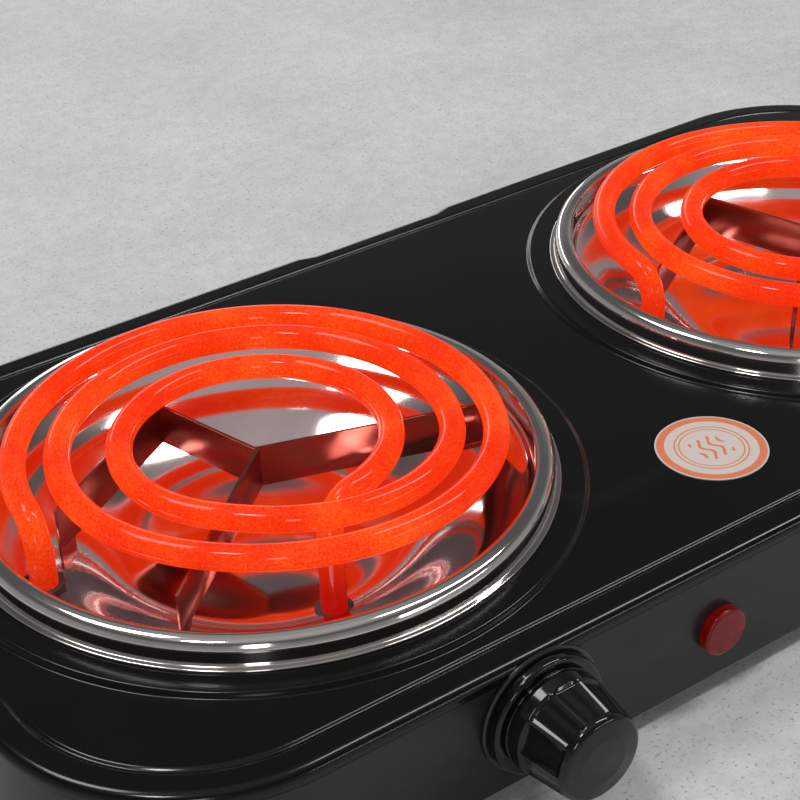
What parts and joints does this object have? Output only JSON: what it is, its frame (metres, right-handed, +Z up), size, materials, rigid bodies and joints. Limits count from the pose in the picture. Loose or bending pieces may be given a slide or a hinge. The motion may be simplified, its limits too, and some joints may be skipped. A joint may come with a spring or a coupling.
{
  "type": "electric hot plate",
  "caption": "Electric table hot plate: black pressed-steel body, open spiral heating elements over bright drip pans in chrome rings, fluted control knobs and round red lamps.",
  "frame": {"origin": "middle of the footprint, on the surface the feet stand on", "axes": "+X to the right along the row of burners, +Y to the back where the mains lead enters, +Z up; the knobs face -Y"},
  "size_m": [0.434, 0.2438, 0.0642],
  "materials": {
    "deck_enamel": "semi-gloss black stoved enamel",
    "casing_paint": "satin black stoved paint",
    "base_steel": "zinc-plated sheet steel",
    "screw_steel": "bright plated steel",
    "foot_rubber": "matt black rubber",
    "label_print": "printed gloss sticker, white with an orange border",
    "gland_nylon": "black moulded nylon",
    "terminal_ceramic": "unglazed off-white steatite",
    "bush_ceramic": "dark glazed steatite",
    "ring_chrome": "polished chrome plate",
    "pan_chrome": "bright pressed steel, mirror finish",
    "hot_sheath": "nickel-alloy sheath glowing orange-red",
    "support_steel": "bright steel strip",
    "shield_aluminium": "mill-finish reflector sheet",
    "terminal_brass": "plain brass",
    "knob_gloss": "high-gloss black phenolic moulding",
    "bezel_gloss": "gloss black moulding",
    "phenolic": "brown-black moulded phenolic",
    "lens_red": "translucent red polycarbonate",
    "lamp_white": "white nylon",
    "bulb_glass": "clear glass",
    "wire_sleeve": "glass-braid sleeved wire"
  },
  "bodies": {
    "housing": {"base_plate": "base_steel", "base_screws": "screw_steel", "body_shell": "casing_paint", "coil_support_left": "support_steel", "coil_support_right": "support_steel", "cord_gland": "gland_nylon", "drip_pan_left": "pan_chrome", "drip_pan_right": "pan_chrome", "earth_stud": "screw_steel", "foot_back_left": "foot_rubber", "foot_back_right": "foot_rubber", "foot_front_left": "foot_rubber", "foot_front_right": "foot_rubber", "foot_screws": "screw_steel", "gland_nut": "gland_nylon", "heat_shield_left": "shield_aluminium", "heat_shield_right": "shield_aluminium", "heating_coil_left": "hot_sheath", "heating_coil_right": "hot_sheath", "knob_bezel_left": "bezel_gloss", "knob_bezel_right": "bezel_gloss", "label_disc": "label_print", "lamp_bulb_left": "bulb_glass", "lamp_bulb_right": "bulb_glass", "lamp_clip_left": "screw_steel", "lamp_clip_right": "screw_steel", "lamp_housing_left": "lamp_white", "lamp_housing_right": "lamp_white", "lamp_lens_left": "lens_red", "lamp_lens_right": "lens_red", "leg_bushes_left": "bush_ceramic", "leg_bushes_right": "bush_ceramic", "mains_terminal_block": "terminal_ceramic", "mains_terminal_screws": "screw_steel", "shield_posts_left": "base_steel", "shield_posts_right": "base_steel", "terminal_blocks_left": "terminal_ceramic", "terminal_blocks_right": "terminal_ceramic", "terminal_pins_left": "terminal_brass", "terminal_pins_right": "terminal_brass", "thermostat_body_left": "phenolic", "thermostat_body_right": "phenolic", "thermostat_bracket_left": "base_steel", "thermostat_bracket_right": "base_steel", "thermostat_screws": "screw_steel", "thermostat_tabs_left": "terminal_brass", "thermostat_tabs_right": "terminal_brass", "top_deck": "deck_enamel", "trim_ring_left": "ring_chrome", "trim_ring_right": "ring_chrome", "wire_live_left": "wire_sleeve", "wire_live_right": "wire_sleeve", "wire_neutral_left": "wire_sleeve", "wire_neutral_right": "wire_sleeve"},
    "knob_left_body": {"knob_left": "knob_gloss", "knob_clip_left": "screw_steel", "thermostat_shaft_left": "screw_steel"},
    "knob_right_body": {"knob_right": "knob_gloss", "knob_clip_right": "screw_steel", "thermostat_shaft_right": "screw_steel"}
  },
  "joints": [
    {"name": "knob_left_turn", "type": "hinge", "parent": "housing", "child": "knob_left_body", "pos_m": [-0.0932, -0.0963, 0.0277], "axis": [0, 1, 0], "range_deg": [-240, 30]},
    {"name": "knob_right_turn", "type": "hinge", "parent": "housing", "child": "knob_right_body", "pos_m": [0.0932, -0.0963, 0.0277], "axis": [0, 1, 0], "range_deg": [-240, 30]}
  ]
}
